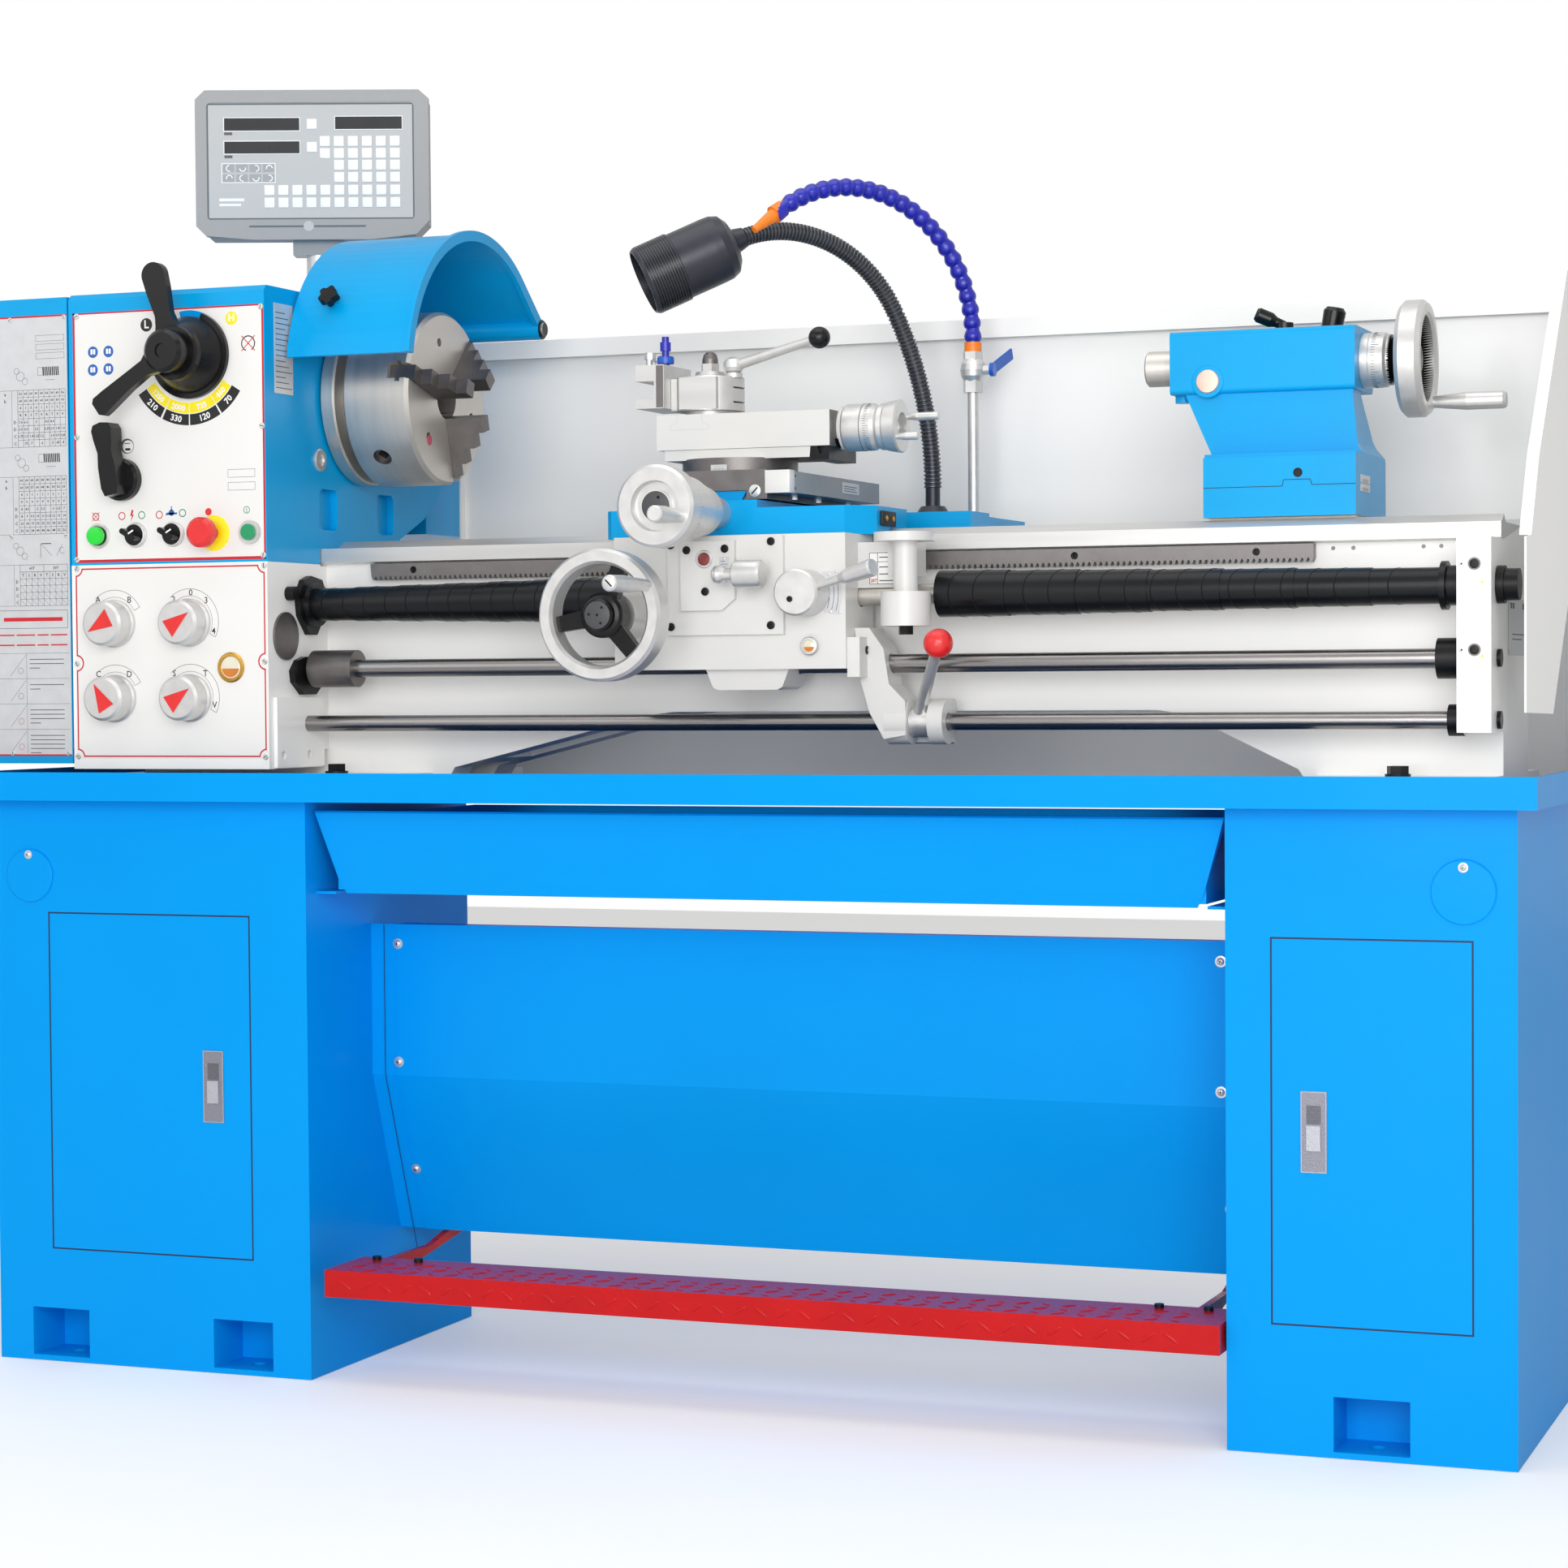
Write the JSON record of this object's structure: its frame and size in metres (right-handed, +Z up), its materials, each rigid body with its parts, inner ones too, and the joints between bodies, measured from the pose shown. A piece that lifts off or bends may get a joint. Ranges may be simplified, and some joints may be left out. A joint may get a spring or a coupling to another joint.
{
  "type": "bench lathe",
  "caption": "Metal-cutting lathe on a two-cabinet steel stand, with three-jaw chuck, carriage, tailstock, digital readout, chip tray, splash guard and foot brake.",
  "frame": {"origin": "on the floor at the centre of the machine's bounding box footprint", "axes": "+X from headstock to tailstock, +Y to the back, away from the operator, +Z up"},
  "size_m": [1.782, 0.79, 1.5145],
  "materials": {
    "blue_paint": "gloss blue enamel",
    "white_paint": "light grey-white enamel",
    "steel": "ground and turned steel",
    "dark_steel": "oiled dark steel",
    "black_paint": "gloss black plastic and enamel",
    "grey_plastic": "grey moulded plastic",
    "red_paint": "gloss red enamel",
    "red_plastic": "gloss red plastic",
    "green_plastic": "green plastic",
    "blue_plastic": "blue plastic",
    "motor_paint": "grey enamel"
  },
  "bodies": {
    "base": {"left_cabinet": "blue_paint", "right_cabinet": "blue_paint", "chip_tray": "blue_paint", "front_panel": "blue_paint", "bed": "white_paint", "headstock": "blue_paint", "feed_gearbox": "white_paint", "splash_guard": "white_paint", "end_bracket": "white_paint", "rack": "steel", "motor": "motor_paint", "end_train": "dark_steel", "screw_covers": "black_paint"},
    "spindle_unit": {"spindle": "steel", "chuck_body": "steel"},
    "jaw_a": {"jaw_1": "dark_steel"},
    "jaw_b": {"jaw_2": "dark_steel"},
    "jaw_c": {"jaw_3": "dark_steel"},
    "carriage": {"saddle": "blue_paint", "apron": "white_paint", "rod_bracket": "white_paint", "work_lamp": "black_paint", "coolant_line": "blue_plastic"},
    "carriage_wheel": {"carriage_handwheel": "steel"},
    "halfnut": {"halfnut_lever": "steel"},
    "feed_select": {"feed_lever": "steel"},
    "control": {"control_lever": "red_plastic"},
    "valve": {"valve_handle": "blue_plastic"},
    "cross": {"cross_slide": "dark_steel"},
    "cross_wheel": {"cross_handwheel": "steel"},
    "compound": {"compound_base": "white_paint"},
    "topslide": {"top_slide": "steel", "tool_post": "steel"},
    "top_handle": {"top_slide_handle": "steel"},
    "post_lever": {"tool_post_lever": "steel"},
    "holder": {"tool_holder": "steel"},
    "tailstock": {"tailstock_body": "blue_paint"},
    "tail_quill": {"quill": "steel"},
    "tail_wheel": {"tailstock_handwheel": "steel"},
    "tail_lock": {"quill_lock": "black_paint"},
    "tail_clamp": {"clamp_lever": "black_paint"},
    "screw": {"leadscrew": "steel"},
    "feed_shaft": {"feed_rod": "steel"},
    "control_shaft": {"control_rod": "steel"},
    "door_left": {"left_door": "blue_paint"},
    "door_right": {"right_door": "blue_paint"},
    "pedal": {"brake_pedal": "red_paint"},
    "drawer": {"chip_drawer": "blue_paint"},
    "guard": {"chuck_guard": "blue_paint"},
    "cover": {"end_cover": "blue_paint"},
    "readout": {"dro_display": "grey_plastic"},
    "speed": {"speed_lever": "black_paint"},
    "range": {"range_lever": "black_paint"},
    "direction": {"direction_lever": "black_paint"},
    "estop": {"estop_button": "red_plastic"},
    "start": {"start_button": "green_plastic"},
    "selector_1": {"knob_1": "steel"},
    "selector_2": {"knob_2": "steel"},
    "selector_3": {"knob_3": "steel"},
    "selector_4": {"knob_4": "steel"}
  },
  "joints": [
    {"name": "spindle_turn", "type": "hinge", "parent": "base", "child": "spindle_unit", "pos_m": [-0.45, -0.015, 1.105], "axis": [1, 0, 0], "continuous": true},
    {"name": "jaw_1_travel", "type": "slide", "parent": "spindle_unit", "child": "jaw_a", "axis": [0, 0.7071, 0.7071], "range_m": [-0.01, 0.008]},
    {"name": "jaw_2_travel", "type": "slide", "parent": "spindle_unit", "child": "jaw_b", "axis": [0, -0.9659, 0.2588], "range_m": [-0.01, 0.008]},
    {"name": "jaw_3_travel", "type": "slide", "parent": "spindle_unit", "child": "jaw_c", "axis": [0, 0.2588, -0.9659], "range_m": [-0.01, 0.008]},
    {"name": "carriage_slide", "type": "slide", "parent": "base", "child": "carriage", "axis": [1, 0, 0], "range_m": [-0.17, 0.2], "deforming": ["screw_covers"]},
    {"name": "carriage_handwheel_turn", "type": "hinge", "parent": "carriage", "child": "carriage_wheel", "pos_m": [-0.079, -0.25, 0.845], "axis": [0, 1, 0], "continuous": true},
    {"name": "halfnut_lever_turn", "type": "hinge", "parent": "carriage", "child": "halfnut", "pos_m": [0.118, -0.22, 0.867], "axis": [0, 1, 0], "range_deg": [0, 35]},
    {"name": "feed_lever_turn", "type": "hinge", "parent": "carriage", "child": "feed_select", "pos_m": [0.062, -0.22, 0.887], "axis": [0, 1, 0], "range_deg": [-25, 25]},
    {"name": "control_lever_turn", "type": "hinge", "parent": "carriage", "child": "control", "pos_m": [0.2285, -0.15, 0.73], "axis": [1, 0, 0], "range_deg": [-14, 14]},
    {"name": "valve_turn", "type": "hinge", "parent": "carriage", "child": "valve", "pos_m": [0.198, 0.19, 1.132], "axis": [1, 0, 0], "range_deg": [0, 60]},
    {"name": "cross_slide_travel", "type": "slide", "parent": "carriage", "child": "cross", "axis": [0, 1, 0], "range_m": [-0.02, 0.09]},
    {"name": "cross_handwheel_turn", "type": "hinge", "parent": "carriage", "child": "cross_wheel", "pos_m": [0, -0.25, 0.956], "axis": [0, 1, 0], "continuous": true},
    {"name": "compound_swivel", "type": "hinge", "parent": "cross", "child": "compound", "pos_m": [-0.01, -0.07, 1.008], "axis": [0, 0, 1], "range_deg": [-60, 30]},
    {"name": "top_slide_travel", "type": "slide", "parent": "compound", "child": "topslide", "axis": [1, 0, 0], "range_m": [0, 0.05]},
    {"name": "top_slide_crank_turn", "type": "hinge", "parent": "topslide", "child": "top_handle", "pos_m": [0.15, -0.07, 1.05], "axis": [1, 0, 0], "continuous": true},
    {"name": "tool_post_lever_turn", "type": "hinge", "parent": "topslide", "child": "post_lever", "pos_m": [-0.014, -0.078, 1.122], "axis": [0, 0, 1], "range_deg": [-30, 60]},
    {"name": "tool_holder_lift", "type": "slide", "parent": "topslide", "child": "holder", "axis": [0, 0, 1], "range_m": [0, 0.03]},
    {"name": "tailstock_slide", "type": "slide", "parent": "base", "child": "tailstock", "axis": [1, 0, 0], "range_m": [-0.2, 0.04]},
    {"name": "quill_travel", "type": "slide", "parent": "tailstock", "child": "tail_quill", "axis": [-1, 0, 0], "range_m": [0, 0.08]},
    {"name": "tailstock_handwheel_turn", "type": "hinge", "parent": "tailstock", "child": "tail_wheel", "pos_m": [0.71, -0.015, 1.105], "axis": [1, 0, 0], "continuous": true},
    {"name": "quill_lock_turn", "type": "hinge", "parent": "tailstock", "child": "tail_lock", "pos_m": [0.585, 0, 1.148], "axis": [0, 0, 1], "range_deg": [-40, 40]},
    {"name": "bed_clamp_turn", "type": "hinge", "parent": "tailstock", "child": "tail_clamp", "pos_m": [0.616, 0.04, 1.094], "axis": [0, 1, 0], "range_deg": [-30, 30]},
    {"name": "leadscrew_turn", "type": "hinge", "parent": "base", "child": "screw", "pos_m": [0.1, -0.15, 0.865], "axis": [1, 0, 0], "continuous": true},
    {"name": "feed_rod_turn", "type": "hinge", "parent": "base", "child": "feed_shaft", "pos_m": [0.1, -0.15, 0.792], "axis": [1, 0, 0], "continuous": true},
    {"name": "control_rod_turn", "type": "hinge", "parent": "base", "child": "control_shaft", "pos_m": [0.1, -0.15, 0.73], "axis": [1, 0, 0], "range_deg": [-15, 15]},
    {"name": "left_door_open", "type": "hinge", "parent": "base", "child": "door_left", "pos_m": [-0.7933, -0.2488, 0.323], "axis": [0, 0, 1], "range_deg": [-100, 0]},
    {"name": "right_door_open", "type": "hinge", "parent": "base", "child": "door_right", "pos_m": [0.8233, -0.2488, 0.323], "axis": [0, 0, 1], "range_deg": [0, 100]},
    {"name": "brake_pedal_press", "type": "hinge", "parent": "base", "child": "pedal", "pos_m": [0.06, 0.06, 0.14], "axis": [1, 0, 0], "range_deg": [0, 6], "stiffness_Nm_per_rad": 500, "springref_deg": -6.88},
    {"name": "drawer_pull", "type": "slide", "parent": "base", "child": "drawer", "axis": [0, -1, 0], "range_m": [0, 0.25]},
    {"name": "chuck_guard_lift", "type": "hinge", "parent": "base", "child": "guard", "pos_m": [-0.433, 0.154, 1.199], "axis": [1, 0, 0], "range_deg": [-95, 0]},
    {"name": "end_cover_open", "type": "hinge", "parent": "base", "child": "cover", "pos_m": [-0.77, 0.233, 0.952], "axis": [0, 0, 1], "range_deg": [-85, 0]},
    {"name": "readout_swivel", "type": "hinge", "parent": "base", "child": "readout", "pos_m": [-0.695, 0.222, 1.3], "axis": [0, 0, 1], "range_deg": [-35, 35]},
    {"name": "speed_lever_turn", "type": "hinge", "parent": "base", "child": "speed", "pos_m": [-0.608, -0.26, 1.145], "axis": [0, 1, 0], "range_deg": [-60, 60]},
    {"name": "range_lever_turn", "type": "hinge", "parent": "base", "child": "range", "pos_m": [-0.608, -0.29, 1.145], "axis": [0, 1, 0], "range_deg": [-40, 40]},
    {"name": "direction_lever_turn", "type": "hinge", "parent": "base", "child": "direction", "pos_m": [-0.698, -0.25, 1.008], "axis": [0, 1, 0], "range_deg": [-45, 45]},
    {"name": "estop_press", "type": "slide", "parent": "base", "child": "estop", "axis": [0, 1, 0], "range_m": [0, 0.004], "stiffness_N_per_m": 900},
    {"name": "start_press", "type": "slide", "parent": "base", "child": "start", "axis": [0, 1, 0], "range_m": [0, 0.003], "stiffness_N_per_m": 700},
    {"name": "knob_1_turn", "type": "hinge", "parent": "base", "child": "selector_1", "pos_m": [-0.712, -0.25, 0.845], "axis": [0, 1, 0], "range_deg": [-90, 90]},
    {"name": "knob_2_turn", "type": "hinge", "parent": "base", "child": "selector_2", "pos_m": [-0.614, -0.25, 0.845], "axis": [0, 1, 0], "range_deg": [-90, 90]},
    {"name": "knob_3_turn", "type": "hinge", "parent": "base", "child": "selector_3", "pos_m": [-0.712, -0.25, 0.76], "axis": [0, 1, 0], "range_deg": [-90, 90]},
    {"name": "knob_4_turn", "type": "hinge", "parent": "base", "child": "selector_4", "pos_m": [-0.614, -0.25, 0.76], "axis": [0, 1, 0], "range_deg": [-90, 90]}
  ],
  "couplings": [
    {"joint": "jaw_2_travel", "follows": "jaw_1_travel", "ratio": 1},
    {"joint": "jaw_3_travel", "follows": "jaw_1_travel", "ratio": 1},
    {"joint": "carriage_handwheel_turn", "follows": "carriage_slide", "rad_per_m": 314.16},
    {"joint": "cross_handwheel_turn", "follows": "cross_slide_travel", "rad_per_m": 1256.6},
    {"joint": "top_slide_crank_turn", "follows": "top_slide_travel", "rad_per_m": 1570.8},
    {"joint": "tailstock_handwheel_turn", "follows": "quill_travel", "rad_per_m": -1256.6},
    {"joint": "control_rod_turn", "follows": "control_lever_turn", "ratio": 1}
  ]
}
